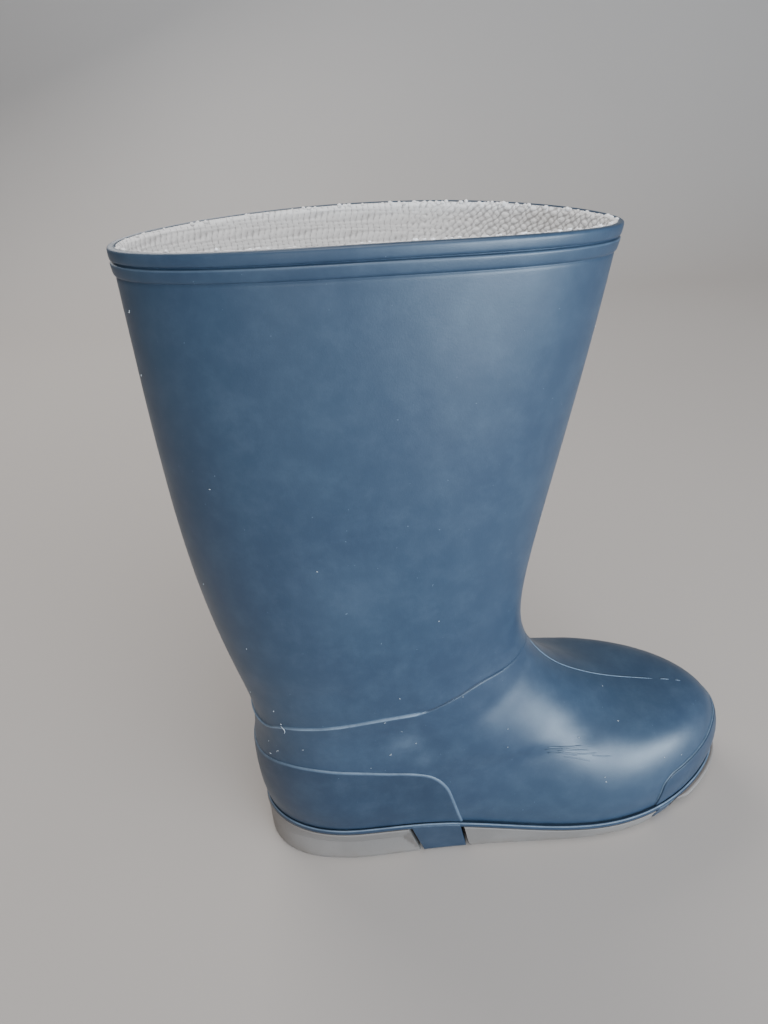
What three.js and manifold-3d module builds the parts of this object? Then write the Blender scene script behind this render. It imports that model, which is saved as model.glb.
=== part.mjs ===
// A wellington boot for a right foot, about European size 39.
// Millimetres, +Z up, toe towards +X, outer (little toe) side towards -Y.
// The boot stands on its heel and forefoot at z = 0, with the origin under the middle of its outer box.
import * as THREE from "three";
import { mergeVertices } from "three/addons/utils/BufferGeometryUtils.js";
import Module from "manifold-3d";

const wasm = await Module();
wasm.setup();

// Where the back of the sole lies from the origin, and how far the foot's axis lies from it.
const HEEL_X = -127.5;
const AXIS_Y = -3.9;

// Thicknesses and gaps.
const WALL = 2.3;
const GAP = 0.3;
const WELT_THICKNESS = 3.0;
const WELT_OVERHANG = 2.0;
const INSOLE_THICKNESS = 3.0;
const INSOLE_CLEARANCE = 0.5;
const OVERLAY_THICKNESS = 0.9;
const COLLAR_BAND_DEPTH = 1.1;

// The last, as sections numbered from 0 at the feather edge, where upper and sole meet, to 17 at the
// collar. Each section is a closed loop from its back point to its front point, x measured from the
// back of the sole.
const TOP_LEVEL = 17;
const BACK_EDGE = [
  [3, 30], [1.2, 40], [0.6, 51], [0.5, 62], [1, 74], [2.4, 84], [3.4, 92], [3.8, 99], [3.4, 106],
  [2.2, 114], [0, 124], [-3, 138], [-6.4, 157], [-9.8, 182], [-12.2, 215], [-13, 254], [-12.8, 293],
  [-12.5, 328.5],
];
const FRONT_EDGE = [
  [266, 19], [268, 30], [266.5, 43], [260, 55], [248, 63.5], [232, 68.5], [212, 72], [193, 78],
  [177, 87.5], [163.5, 98.5], [152.5, 111.5], [145, 127.5], [143.2, 148], [146.6, 175], [153.4, 208],
  [161.8, 248], [169.8, 288], [176, 325],
];
// Share of the foot's outline in each section; the rest is the oval of the leg.
const FOOT_SHARE = [1, 1, 0.92, 0.8, 0.66, 0.52, 0.4, 0.25, 0.12, 0.03, 0, 0];
const FOOT_GIRTH = [1, 1.03, 1.03, 1.01, 1, 1];
const LEG_HALF_WIDTH = [38, 38, 38, 38, 38, 37.5, 37, 36.5, 36.5, 37, 38, 39, 40, 41, 41, 41, 40, 39.5];
// How far each end's rounding reaches along the section, and how full it is: 2 is an ellipse.
const BACK_ROUND = [
  0.215, 0.215, 0.215, 0.22, 0.23, 0.24, 0.26, 0.28, 0.31, 0.34, 0.38, 0.42, 0.46, 0.5, 0.5,
];
const FRONT_ROUND = [0.34, 0.34, 0.36, 0.41, 0.46, 0.5, 0.54, 0.57, 0.57, 0.55, 0.53, 0.52, 0.5, 0.5];
const FULLNESS = [2.7, 2.8, 2.9, 3, 3, 2.8, 2.6, 2.6, 2.5, 2.2, 2.1, 2, 2, 2.1, 2.1];
// The instep stands higher on the inner side, by this much at this distance from the axis.
const INNER_RISE = [0, 0, 0.5, 2, 4, 5.5, 5, 3.5, 2, 1, 0.5, 0, 0];
const RISE_DISTANCE = 40;
// The outer side falls away above the little toe's joint, by this share of its width.
const SHOULDER_FALL = [0, 0, 0.01, 0.05, 0.11, 0.13, 0.09, 0.045, 0.01, 0, 0];
const SHOULDER_BACK = [100, 150];
const SHOULDER_FRONT = [190, 240];
// How closely a section follows the waves of the feather edge.
const WAVE_SHARE = [1, 0.85, 0.6, 0.35, 0.15, 0, 0];

// Half widths of the foot from heel to toe, on the outer and the inner side of its bent axis.
const OUTER_HALF_WIDTH = [33, 36.5, 36, 38.5, 47, 46.5, 37.5];
const INNER_HALF_WIDTH = [33, 36, 31, 30, 44, 45, 37.5];
// The big toe keeps the inner side fuller: its rounding starts this share later than the outer one.
const INNER_TOE_FILL = 0.22;
const TOE_SWING = 9;
const SWING_START = 105;
const SWING_END = 275;

// Height of the feather edge from heel to toe.
const FEATHER_HEIGHT = [30, 30, 29.8, 28, 20, 15.5, 15, 16, 19];
const FOOT_LENGTH = 270;

// The collar's rim is higher at the sides than in front, most on the outer side, and rises at the back.
const COLLAR_SADDLE = 5.3;
const COLLAR_LEAN = -1.2;
const COLLAR_BACK_RISE = 3.3;
// Upwards from this share of the leg's height the sections take on the rim's shape.
const COLLAR_START = 0.6;
const COLLAR_BAND_LEVEL = 16.72;
const COLLAR_BAND_SLOPE = 0.05;

// Sole.
const WELT_BEVEL = 0.6;
const SOLE_OVERHANG = 1.9;
const SOLE_INSET = 1.6;
const HEEL_FLARE = 2.2;
const HEEL_FLARE_END = 40;
const SOLE_EDGE_BEVEL = 1.2;
const TOE_SPRING = 7;
const TOE_SPRING_START = 203;
const HEEL_FRONT = 86;
const FOREFOOT_BACK = 113;
const ARCH_HEIGHT = 9;
const ARCH_STEEP = { run: 3, rise: 7 };
const ARCH_SLOPE = 8;
const HEEL_TREAD = { starts: [14, 30, 46, 62], width: 7, bend: 4 };
const FOREFOOT_TREAD = { starts: [126, 143, 160, 177, 194], width: 8, bend: 7 };
const LUG_DEPTH = 3.5;
const LUG_RIM = 7;
const BLOCK_DEPTH = 8;
const BLOCK_OVERHANG = 1.4;
const BLOCK_FLOOR_GAP = 2.2;
const SLIT = 2;
// The blocks in side view: x of the back and front edges, each at the floor and at the welt.
const WAIST_BLOCK = { back: [86, 79.5], front: [109.5, 106] };
const TOE_BLOCK = { back: [218.5, 218.5], front: [233.5, 233.5] };
const BLOCK_HEIGHT = 25;

// Heel counter and toe bumper in side view, from their front or back foot up and over.
const COUNTER_LINE = [
  [108, 20], [101, 47], [99.5, 54.5], [97, 60.5], [93, 66.3], [86.5, 69.5], [72, 72], [60, 75], [48, 77.7],
  [36, 79.7], [26, 80.2], [16, 79], [6, 76.3], [-30, 70],
];
const BUMPER_LINE = [
  [217, 8], [218.5, 28], [220, 32.5], [224, 36.3], [232, 38.5], [245, 40.3], [256, 42], [290, 45],
];

// Levels above which there is no counter and no bumper.
const COUNTER_TOP = 8.4;
const BUMPER_TOP = 3.4;

// How far cutting bodies reach past what they cut.
const OVERLAY_REACH = 5;
const SIDE_REACH = 80;
const COLUMN_BOTTOM = -30;
const COLUMN_TOP = 60;
const BLOCK_BOTTOM = -1;
const BLOCK_TOP = 34;
const GROOVE_REACH = 20;

// The surface's normal turns level over these ranges of level, towards the sole and the collar.
const LEVEL_AT_SOLE = [0, 1.2];
const LEVEL_AT_COLLAR = [15.5, 16.6];
const SLOPE_STEP = 1e-3;
const END_MARGIN = 1e-9;
const MERGE_DISTANCE = 1e-5;

// Mesh fineness.
const TURNS = 56;
const OUTER_LEVELS = [
  0, 0.5, 1, 1.6, 2.2, 2.8, 3.4, 4, 4.6, 5.3, 6, 6.8, 7.6, 8.4, 9.2, 10, 10.8, 11.7, 12.8, 14, 15.4,
];
const INNER_LEVELS = [0, 0.8, 1.6, 2.4, 3.2, 4, 4.8, 5.8, 6.8, 7.7, 8.6, 9.5, 10.4, 11.4, 12.6, 14, 15.5];

// ---------------------------------------------------------------- the last as a function

function control(list, index) {
  if (index < 0) {
    return 2 * list[0] - list[1];
  }
  if (index === list.length) {
    return 2 * list[index - 1] - list[index - 2];
  }
  return list[Math.min(index, list.length - 1)];
}

// A uniform cubic B-spline through numbered controls; past the list's end it stays level.
function spline(list, position) {
  const start = Math.floor(Math.max(0, position) - END_MARGIN * (position === TOP_LEVEL));
  const f = position - start;
  const weights = [
    (1 - f) ** 3,
    3 * f ** 3 - 6 * f ** 2 + 4,
    -3 * f ** 3 + 3 * f ** 2 + 3 * f + 1,
    f ** 3,
  ];
  return weights.reduce((sum, weight, k) => sum + weight * control(list, start - 1 + k), 0) / 6;
}

function alongList(list, share) {
  const t = Math.min(Math.max(share, 0), 1 - END_MARGIN);
  return spline(list, t * (list.length - 1));
}

function featherHeight(x) {
  return alongList(FEATHER_HEIGHT, x / FOOT_LENGTH);
}

function endRounding(share, reach, fullness) {
  const t = Math.min(Math.max(share / reach, 0), 1);
  return Math.sqrt(1 - (1 - t) ** fullness);
}

// How much of the shoulder's fall there is at x.
function shoulder(x) {
  return THREE.MathUtils.smoothstep(x, ...SHOULDER_BACK) - THREE.MathUtils.smoothstep(x, ...SHOULDER_FRONT);
}

const backX = BACK_EDGE.map((point) => point[0]);
const backZ = BACK_EDGE.map((point) => point[1]);
const frontX = FRONT_EDGE.map((point) => point[0]);
const frontZ = FRONT_EDGE.map((point) => point[1]);

// turn runs once round from the back by the outer side; level runs from 0 to TOP_LEVEL.
function lastPoint(turn, level) {
  const whole = turn - Math.floor(turn);
  const side = whole < 0.5 ? -1 : 1;
  const angle = 2 * Math.PI * (whole < 0.5 ? whole : 1 - whole);
  const share = (1 - Math.cos(angle)) / 2;
  const foot = spline(FOOT_SHARE, level);
  const outline = alongList(side < 0 ? OUTER_HALF_WIDTH : INNER_HALF_WIDTH, share);
  const fullness = spline(FULLNESS, level);
  const frontReach = spline(FRONT_ROUND, level) * (side > 0 ? 1 - INNER_TOE_FILL * foot : 1);
  const x = THREE.MathUtils.lerp(spline(backX, level), spline(frontX, level), share);
  const width = (foot * spline(FOOT_GIRTH, level) * outline + (1 - foot) * spline(LEG_HALF_WIDTH, level))
    * endRounding(share, spline(BACK_ROUND, level), fullness)
    * endRounding(1 - share, frontReach, fullness)
    * (side < 0 ? 1 - spline(SHOULDER_FALL, level) * shoulder(x) : 1);
  const wave = featherHeight(x) - THREE.MathUtils.lerp(backZ[0], frontZ[0], share);
  const collar = THREE.MathUtils.smoothstep(level / TOP_LEVEL, COLLAR_START, 1);
  const rise = spline(INNER_RISE, level) + COLLAR_LEAN * collar;
  const z = THREE.MathUtils.lerp(spline(backZ, level), spline(frontZ, level), share)
    + spline(WAVE_SHARE, level) * wave
    + COLLAR_SADDLE * collar * Math.sin(angle) ** 2
    + COLLAR_BACK_RISE * collar * (1 - share) ** 4
    + rise * side * width / RISE_DISTANCE;
  const axis = TOE_SWING * THREE.MathUtils.smoothstep(x, SWING_START, SWING_END);
  return new THREE.Vector3(x, axis + side * width, z);
}

// The outward normal, turned level at the feather edge and at the collar so that both rims end flat.
function lastNormal(turn, level) {
  const around = lastPoint(turn + SLOPE_STEP, level).sub(lastPoint(turn - SLOPE_STEP, level));
  const below = Math.max(level - SLOPE_STEP, 0);
  const above = Math.min(level + SLOPE_STEP, TOP_LEVEL);
  const up = lastPoint(turn, above).sub(lastPoint(turn, below));
  const normal = around.cross(up).normalize();
  const bottom = THREE.MathUtils.smoothstep(level, ...LEVEL_AT_SOLE);
  const top = 1 - THREE.MathUtils.smoothstep(level, ...LEVEL_AT_COLLAR);
  normal.z *= bottom * top;
  return normal.normalize();
}

function formLoop(level, offset) {
  return Array.from({ length: TURNS }, (_, i) => {
    const turn = i / TURNS;
    return lastPoint(turn, level).addScaledVector(lastNormal(turn, level), offset);
  });
}

// The feather edge moved outwards by offset, at a height worked out from x.
function edgeLoop(offset, height) {
  return formLoop(0, offset).map((point) => new THREE.Vector3(point.x, point.y, height(point.x)));
}

// ---------------------------------------------------------------- meshes and solids

function meshGeometry(points, triangles) {
  const geometry = new THREE.BufferGeometry();
  geometry.setAttribute("position", new THREE.Float32BufferAttribute(points.flatMap((p) => p.toArray()), 3));
  geometry.setIndex(triangles);
  return geometry;
}

function bandTriangles(lower, upper) {
  const triangles = [];
  for (let i = 0; i < TURNS; i += 1) {
    const next = (i + 1) % TURNS;
    const corners = [lower + i, lower + next, upper + next, upper + i];
    triangles.push(corners[0], corners[1], corners[2], corners[0], corners[2], corners[3]);
  }
  return triangles;
}

// Closes a loop by joining each point to its twin on the other side.
function capTriangles(start, facesUp) {
  const triangles = [];
  for (let i = 0; i < TURNS / 2; i += 1) {
    const corners = [i, i + 1, TURNS - i - 1, (TURNS - i) % TURNS].map((k) => start + k);
    const quad = i === 0
      ? [[corners[0], corners[1], corners[2]]]
      : [[corners[0], corners[1], corners[2]], [corners[0], corners[2], corners[3]]];
    const faces = i === TURNS / 2 - 1 ? [[corners[0], corners[1], corners[3]]] : quad;
    faces.forEach((face) => triangles.push(...(facesUp ? face : face.reverse())));
  }
  return triangles;
}

// A solid skin over loops that rise from the first to the last, capped at both ends.
function capsuleGeometry(loops) {
  const triangles = loops.slice(1).flatMap((_, k) => bandTriangles(k * TURNS, (k + 1) * TURNS));
  triangles.push(...capTriangles(0, false));
  triangles.push(...capTriangles((loops.length - 1) * TURNS, true));
  return meshGeometry(loops.flat(), triangles);
}

// A hollow wall: the loops go up outside and down inside, and the last one joins the first.
function wallGeometry(loops) {
  const triangles = loops.flatMap((_, k) => bandTriangles(k * TURNS, ((k + 1) % loops.length) * TURNS));
  return meshGeometry(loops.flat(), triangles);
}

function toSolid(geometry) {
  geometry.deleteAttribute("normal");
  geometry.deleteAttribute("uv");
  const merged = mergeVertices(geometry, MERGE_DISTANCE);
  return new wasm.Manifold(new wasm.Mesh({
    numProp: 3,
    vertProperties: Float32Array.from(merged.attributes.position.array),
    triVerts: Uint32Array.from(merged.index.array),
  }));
}

function toGeometry(solid) {
  const mesh = solid.getMesh();
  const geometry = new THREE.BufferGeometry();
  geometry.setAttribute("position", new THREE.Float32BufferAttribute(mesh.vertProperties, 3));
  geometry.setIndex(Array.from(mesh.triVerts));
  return geometry;
}

// A prism through the whole width of the boot, from its outline in side view.
function sidePrism(outline) {
  const shape = new THREE.Shape(outline.map(([x, z]) => new THREE.Vector2(x, z)));
  const geometry = new THREE.ExtrudeGeometry(shape, { depth: 2 * SIDE_REACH, bevelEnabled: false });
  geometry.rotateX(Math.PI / 2);
  geometry.translate(0, SIDE_REACH, 0);
  return toSolid(geometry);
}

// ---------------------------------------------------------------- the pieces

// A hollow wall with a proud band round its collar.
function upper() {
  const outside = OUTER_LEVELS.map((level) => formLoop(level, 0));
  outside.push(
    formLoop(COLLAR_BAND_LEVEL - COLLAR_BAND_SLOPE, 0),
    formLoop(COLLAR_BAND_LEVEL, COLLAR_BAND_DEPTH),
    formLoop(TOP_LEVEL - COLLAR_BAND_SLOPE, COLLAR_BAND_DEPTH),
    formLoop(TOP_LEVEL, 0),
  );
  const inside = [...INNER_LEVELS, TOP_LEVEL].map((level) => formLoop(level, -WALL)).reverse();
  return wallGeometry([...outside, ...inside]);
}

// The upper's own form, larger by offset, as a closed body up to a level; its ends reach further.
function largerForm(offset, topLevel, reach) {
  const loops = OUTER_LEVELS.filter((level) => level <= topLevel).map((level) => formLoop(level, offset));
  const shifted = (loop, rise) => loop.map((point) => new THREE.Vector3(point.x, point.y, point.z + rise));
  if (reach > 0) {
    loops.unshift(shifted(loops[0], -reach));
    loops.push(shifted(loops[loops.length - 1], reach));
  }
  return toSolid(capsuleGeometry(loops));
}

function overlay(topLevel, cutter) {
  const outside = largerForm(GAP + OVERLAY_THICKNESS, topLevel, 0);
  const inside = largerForm(GAP, topLevel, OVERLAY_REACH);
  return toGeometry(outside.subtract(inside).intersect(cutter));
}

function heelCounter() {
  return overlay(COUNTER_TOP, sidePrism([...COUNTER_LINE, [-30, 20]]));
}

function toeBumper() {
  return overlay(BUMPER_TOP, sidePrism([...BUMPER_LINE, [290, 8]]));
}

function insole() {
  const inset = -WALL - INSOLE_CLEARANCE;
  const bottom = edgeLoop(inset, featherHeight);
  const top = edgeLoop(inset, (x) => featherHeight(x) + INSOLE_THICKNESS);
  return capsuleGeometry([bottom, top]);
}

const weltTop = (x) => featherHeight(x) - GAP;
const weltBottom = (x) => weltTop(x) - WELT_THICKNESS;
const soleTop = (x) => weltBottom(x) - GAP;

function soleBottom(x) {
  const share = Math.max(0, x - TOE_SPRING_START) / (FOOT_LENGTH - TOE_SPRING_START);
  return TOE_SPRING * share ** 2;
}

// The sole's bottom edge lies inside its top edge, except round the back, where the heel flares out.
function soleInset(x) {
  return THREE.MathUtils.lerp(-HEEL_FLARE, SOLE_INSET, THREE.MathUtils.smoothstep(x, 0, HEEL_FLARE_END));
}

// A loop of the outsole's lower edge, moved outwards by grow and up by rise.
function lowerEdge(grow, rise) {
  return Array.from({ length: TURNS }, (_, i) => {
    const edge = lastPoint(i / TURNS, 0);
    edge.addScaledVector(lastNormal(i / TURNS, 0), grow - soleInset(edge.x));
    return edge.setZ(soleBottom(edge.x) + rise);
  });
}

// Everything inside the feather edge moved outwards by offset, at any height.
function columnWithin(offset) {
  const loops = [COLUMN_BOTTOM, COLUMN_TOP].map((height) => edgeLoop(offset, () => height));
  return toSolid(capsuleGeometry(loops));
}

// The rim of the sole between an inner and an outer offset, from the floor gap up into the welt.
function soleRim(outer, inner) {
  const middle = (x) => weltBottom(x) + WELT_THICKNESS / 2;
  const outside = toSolid(capsuleGeometry([lowerEdge(0, BLOCK_FLOOR_GAP), edgeLoop(outer, middle)]));
  return outside.subtract(columnWithin(inner));
}

// A block's outline in side view, grown along the boot, with its slanted ends drawn on past its height.
function blockOutline({ back, front }, grow) {
  const at = ([floor, welt], z) => THREE.MathUtils.lerp(floor, welt, z / BLOCK_HEIGHT);
  return [
    [at(back, BLOCK_BOTTOM) - grow, BLOCK_BOTTOM],
    [at(front, BLOCK_BOTTOM) + grow, BLOCK_BOTTOM],
    [at(front, BLOCK_TOP) + grow, BLOCK_TOP],
    [at(back, BLOCK_TOP) - grow, BLOCK_TOP],
  ];
}

function blockPrisms(grow) {
  return sidePrism(blockOutline(WAIST_BLOCK, grow)).add(sidePrism(blockOutline(TOE_BLOCK, grow)));
}

// Base plate with its proud welt, and the blocks that stand down through the outsole's windows.
function midsole() {
  const plate = toSolid(capsuleGeometry([
    edgeLoop(WELT_OVERHANG - WELT_BEVEL, weltBottom),
    edgeLoop(WELT_OVERHANG, (x) => weltBottom(x) + WELT_BEVEL),
    edgeLoop(WELT_OVERHANG, (x) => weltTop(x) - WELT_BEVEL),
    edgeLoop(WELT_OVERHANG - WELT_BEVEL, weltTop),
  ]));
  const blocks = soleRim(BLOCK_OVERHANG, -BLOCK_DEPTH).intersect(blockPrisms(0));
  return toGeometry(plate.add(blocks));
}

// Bar-shaped grooves, bent forwards in the middle.
function treadGrooves({ starts, width, bend }) {
  return starts.map((x) => {
    const outline = [
      [x, -SIDE_REACH],
      [x + bend, 0],
      [x, SIDE_REACH],
      [x + width, SIDE_REACH],
      [x + width + bend, 0],
      [x + width, -SIDE_REACH],
    ];
    const shape = new THREE.Shape(outline.map(([px, py]) => new THREE.Vector2(px, py)));
    const depth = LUG_DEPTH + GROOVE_REACH;
    const geometry = new THREE.ExtrudeGeometry(shape, { depth, bevelEnabled: false });
    geometry.translate(0, 0, -GROOVE_REACH);
    return toSolid(geometry);
  });
}

function tread() {
  const grooves = [...treadGrooves(HEEL_TREAD), ...treadGrooves(FOREFOOT_TREAD)];
  return grooves.reduce((all, groove) => all.add(groove)).intersect(columnWithin(-LUG_RIM));
}

// The hollow under the arch, steep at its ends and sloping in to its full height.
function archPrism() {
  const { run, rise } = ARCH_STEEP;
  return sidePrism([
    [HEEL_FRONT, BLOCK_BOTTOM],
    [FOREFOOT_BACK, BLOCK_BOTTOM],
    [FOREFOOT_BACK - run, rise],
    [FOREFOOT_BACK - ARCH_SLOPE, ARCH_HEIGHT],
    [HEEL_FRONT + ARCH_SLOPE, ARCH_HEIGHT],
    [HEEL_FRONT + run, rise],
  ]);
}

function outsole() {
  const body = toSolid(capsuleGeometry([
    lowerEdge(0, 0),
    lowerEdge(SOLE_EDGE_BEVEL / 2, SOLE_EDGE_BEVEL),
    edgeLoop(SOLE_OVERHANG, (x) => soleTop(x) - SOLE_EDGE_BEVEL),
    edgeLoop(SOLE_OVERHANG, soleTop),
  ]));
  const windows = blockPrisms(SLIT).subtract(columnWithin(-BLOCK_DEPTH - GAP));
  return toGeometry(body.subtract(windows).subtract(archPrism()).subtract(tread()));
}

// ---------------------------------------------------------------- the boot

const bluePvc = new THREE.MeshStandardMaterial({ color: 0x46617b, roughness: 0.42, metalness: 0 });
const deepBluePvc = new THREE.MeshStandardMaterial({ color: 0x3d566e, roughness: 0.45, metalness: 0 });
const greyPvc = new THREE.MeshStandardMaterial({ color: 0xa59e98, roughness: 0.6, metalness: 0 });
const paleFoam = new THREE.MeshStandardMaterial({ color: 0xd9d6cf, roughness: 0.95, metalness: 0 });

function piece(name, geometry, material) {
  const mesh = new THREE.Mesh(geometry, material);
  mesh.name = name;
  mesh.position.set(HEEL_X, AXIS_Y, 0);
  return mesh;
}

const boot = new THREE.Group();
boot.add(
  piece("upper", upper(), bluePvc),
  piece("heel_counter", heelCounter(), deepBluePvc),
  piece("toe_bumper", toeBumper(), deepBluePvc),
  piece("midsole", midsole(), deepBluePvc),
  piece("outsole", outsole(), greyPvc),
  piece("insole", insole(), paleFoam),
);

export default boot;
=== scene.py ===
"""The looks of a wellington boot for a right foot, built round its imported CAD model.

Sizes are in millimetres until mesh_object() turns them into metres. The toe points along +X, the
outer (little toe) side along -Y. A place on the boot is a turn, once round from the back by the
outer side, and a level, from 0 at the feather edge, where upper and sole meet, to 17 at the collar.
"""
import math
import random

import bmesh
import bpy
import numpy as np
from mathutils import Matrix, Vector


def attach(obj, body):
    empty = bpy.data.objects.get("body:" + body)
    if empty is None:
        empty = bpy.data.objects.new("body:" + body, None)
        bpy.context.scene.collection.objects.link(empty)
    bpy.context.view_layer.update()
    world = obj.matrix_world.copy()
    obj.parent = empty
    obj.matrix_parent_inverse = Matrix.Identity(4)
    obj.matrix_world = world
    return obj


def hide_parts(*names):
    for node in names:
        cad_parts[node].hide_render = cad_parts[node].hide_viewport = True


MM = 0.001

# ------------------------------------------------------------------ the last, as the CAD source has it

# Where the back of the sole and the last's middle line lie in the frame, then thicknesses and gaps.
HEEL_X = -127.5
AXIS_Y = -3.9
WALL = 2.3
GAP = 0.3
WELT_THICKNESS = 3.0
TOP_LEVEL = 17

# The side outline, as (x, z) at each level.
BACK_EDGE = [
    (3, 30), (1.2, 40), (0.6, 51), (0.5, 62), (1, 74), (2.4, 84), (3.4, 92), (3.8, 99), (3.4, 106),
    (2.2, 114), (0, 124), (-3, 138), (-6.4, 157), (-9.8, 182), (-12.2, 215), (-13, 254), (-12.8, 293),
    (-12.5, 328.5),
]
FRONT_EDGE = [
    (266, 19), (268, 30), (266.5, 43), (260, 55), (248, 63.5), (232, 68.5), (212, 72), (193, 78),
    (177, 87.5), (163.5, 98.5), (152.5, 111.5), (145, 127.5), (143.2, 148), (146.6, 175), (153.4, 208),
    (161.8, 248), (169.8, 288), (176, 325),
]

# By level: how much the foot's outline counts, its girth, the leg's half width, and how far and how
# fully the back and the front are rounded.
FOOT_SHARE = [1, 1, 0.92, 0.8, 0.66, 0.52, 0.4, 0.25, 0.12, 0.03, 0, 0]
FOOT_GIRTH = [1, 1.03, 1.03, 1.01, 1, 1]
LEG_HALF_WIDTH = [38, 38, 38, 38, 38, 37.5, 37, 36.5, 36.5, 37, 38, 39, 40, 41, 41, 41, 40, 39.5]
BACK_ROUND = [0.215, 0.215, 0.215, 0.22, 0.23, 0.24, 0.26, 0.28, 0.31, 0.34, 0.38, 0.42, 0.46, 0.5, 0.5]
FRONT_ROUND = [0.34, 0.34, 0.36, 0.41, 0.46, 0.5, 0.54, 0.57, 0.57, 0.55, 0.53, 0.52, 0.5, 0.5]
FULLNESS = [2.7, 2.8, 2.9, 3, 3, 2.8, 2.6, 2.6, 2.5, 2.2, 2.1, 2, 2, 2.1, 2.1]

# By level: how the surface rises towards the inner side, falls at the outer side's shoulder, and
# follows the feather edge.
INNER_RISE = [0, 0, 0.5, 2, 4, 5.5, 5, 3.5, 2, 1, 0.5, 0, 0]
RISE_DISTANCE = 40
SHOULDER_FALL = [0, 0, 0.01, 0.05, 0.11, 0.13, 0.09, 0.045, 0.01, 0, 0]
SHOULDER_BACK = (100, 150)
SHOULDER_FRONT = (190, 240)
WAVE_SHARE = [1, 0.85, 0.6, 0.35, 0.15, 0, 0]

# From back to front: the sole's outline, the toe's swing to the inner side, and the feather edge.
OUTER_HALF_WIDTH = [33, 36.5, 36, 38.5, 47, 46.5, 37.5]
INNER_HALF_WIDTH = [33, 36, 31, 30, 44, 45, 37.5]
INNER_TOE_FILL = 0.22
TOE_SWING = 9
SWING_START = 105
SWING_END = 275
FEATHER_HEIGHT = [30, 30, 29.8, 28, 20, 15.5, 15, 16, 19]
FOOT_LENGTH = 270

# The collar's saddle, lean and higher back, and the levels where the normal is turned level.
COLLAR_SADDLE = 5.3
COLLAR_LEAN = -1.2
COLLAR_BACK_RISE = 3.3
COLLAR_START = 0.6
FEATHER_BAND = 1.2
COLLAR_BAND = (15.5, 16.6)

# The sole's side wall, heel, toe spring, arch and tread.
SOLE_OVERHANG = 1.9
SOLE_INSET = 1.6
HEEL_FLARE = 2.2
HEEL_FLARE_END = 40
TOE_SPRING = 7
TOE_SPRING_START = 203
HEEL_FRONT = 86
FOREFOOT_BACK = 113
ARCH_HEIGHT = 9
LUG_DEPTH = 3.5
LUG_RIM = 7
HEEL_BARS = {"start": (14, 30, 46, 62), "width": 7, "bend": 4}
FOREFOOT_BARS = {"start": (126, 143, 160, 177, 194), "width": 8, "bend": 7}

# The blocks, and the windows that they stand in; a span is a range of the side wall's height.
BLOCK_DEPTH = 8
BLOCK_FLOOR_GAP = 2.2
BLOCK_LIFT = 0.4
BLOCK_TOP = 1.1
BLOCK_INSET = 0.1
BLOCK_EDGE = 0.5
SLIT = 2
WINDOW_PROUD = 6
WINDOW_EXTRA_DEPTH = 5
WINDOW_SPAN = (-0.4, 1.3)
WINDOW_EDGE = 0.01

# The hollow along the heel's side, and the lip under the welt.
CREASE_DEPTH = 3
CREASE_SHARE = 0.52
CREASE_REACH = 0.41
CREASE_FACET = 6.5
CREASE_START = 26
SHARP_ANGLE = 12
SIDE_LIP = 0.35
TOE_LIP = 2.6
TOE_LIP_START = 230

# How far the shapes that cut the sole reach past it: sideways, and down below the floor.
TREAD_REACH = 60
ARCH_REACH = 80
CUTTER_BOTTOM = -20
FIELD_BOTTOM = -30

# ------------------------------------------------------------------ details that only the looks have

# The seam between foot and shaft, as (turn, level), from the back to the front of the outer side.
SEAM = [
    (0, 7.3), (0.066, 7.61), (0.098, 8.29), (0.132, 8.72), (0.171, 9.09), (0.206, 9.38), (0.239, 9.61),
    (0.273, 9.8), (0.312, 10.23), (0.345, 10.54), (0.395, 10.66), (0.45, 10.7), (0.5, 10.7),
]
SEAM_CHANGE = (0.262, 0.28)
SEAM_FADE = (0.36, 0.47)
SEAM_FADE_SHARE = 0.75
SEAM_SPREAD = 0.8
SEAM_LINE = 0.035
SEAM_LEDGE = 0.55
SEAM_BEAD = 0.3
SEAM_STEP = 0.5
SEAM_GROOVE = 1.0
# The width of the painted highlight along the seam's back part.
SEAM_HIGHLIGHT_LINE = 0.055
SEAM_ROWS = [0, 0.015, 0.03, 0.045, 0.065, 0.09, 0.13, 0.2, 0.3]
SEAM_BAND = 0.35

# The collar's section, as (below the rim, out from the wall): two flat beads and two grooves.
COLLAR_SECTION = [
    (13, 0), (12, 0), (11.3, -0.02), (10.9, -0.1), (10.6, -0.22), (10.35, -0.28), (10.15, -0.15),
    (10, 0.15), (9.8, 0.42), (9.5, 0.6), (9, 0.72), (8, 0.84), (7, 0.93), (6.2, 0.98), (5.75, 0.96),
    (5.5, 0.82), (5.35, 0.5), (5.2, 0.1), (5.05, -0.12), (4.9, -0.15), (4.75, -0.05), (4.6, 0.3),
    (4.45, 0.62), (4.2, 0.82), (3.6, 0.92), (2.6, 0.98), (1.6, 1), (0.9, 0.95), (0.45, 0.8), (0.15, 0.5),
    (0, 0.1), (-0.05, -0.6), (0.1, -1.5),
]
COLLAR_LEVEL_HEIGHT = 36
# A painted highlight along one bead's edge at the collar: how strong, how far below the rim, and how far it
# reaches.
COLLAR_HIGHLIGHT = 0.25
COLLAR_HIGHLIGHT_BELOW = 5.75
COLLAR_HIGHLIGHT_REACH = 0.3

# Heel counter and toe bumper, as (turn, level) from the back or the toe's middle to the foot in the sole.
COUNTER_EDGE = [
    (0, 4.2), (0.037, 4.38), (0.058, 4.66), (0.085, 5.08), (0.113, 5.31), (0.149, 5.2), (0.183, 4.7),
    (0.199, 4.42), (0.2065, 4.05), (0.2095, 3.6), (0.2115, 2.9), (0.2125, 1.9), (0.2145, 0.9), (0.217, 0),
]
BUMPER_EDGE = [
    (0.5, 2.35), (0.47, 2.28), (0.441, 2.15), (0.424, 2.02), (0.405, 1.93), (0.383, 1.83), (0.368, 1.69),
    (0.3615, 1.4), (0.359, 0.9), (0.3575, 0),
]
PANEL_FOOT = 0.05
PANEL_RIM = [(0, PANEL_FOOT), (0.04, 0.28), (0.12, 0.47), (0.25, 0.66), (0.42, 0.81), (0.65, 0.94), (1, 1)]
COUNTER_ROUND = 1.6
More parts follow.
